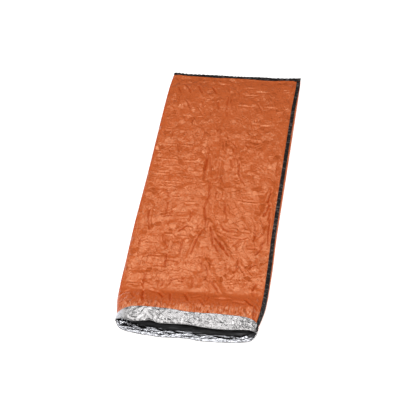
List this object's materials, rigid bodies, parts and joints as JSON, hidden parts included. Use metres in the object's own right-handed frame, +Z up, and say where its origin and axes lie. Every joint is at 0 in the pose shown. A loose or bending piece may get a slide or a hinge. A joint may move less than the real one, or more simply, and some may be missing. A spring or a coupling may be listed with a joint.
{
  "type": "emergency sleeping bag",
  "caption": "Flat tube of crinkled film, orange outside and silver inside, taped down one side and bound across the foot, lying with its mouth propped open and the rim turned back as a cuff.",
  "frame": {"origin": "on the surface the bag lies on, under the middle of its bounding box", "axes": "+X across the bag to the taped side, +Y along the bag from the mouth to the foot, +Z up from the surface it lies on"},
  "size_m": [0.9192, 2.1022, 0.0943],
  "materials": {
    "film": "thin crinkled film, satin orange outside, bright aluminised silver inside and on the cuff",
    "tape": "black ribbed tape, matt"
  },
  "bodies": {
    "root": {"shell": "film", "foot_binding": "tape", "side_tape": "tape", "side_tape_end": "tape"}
  },
  "joints": []
}
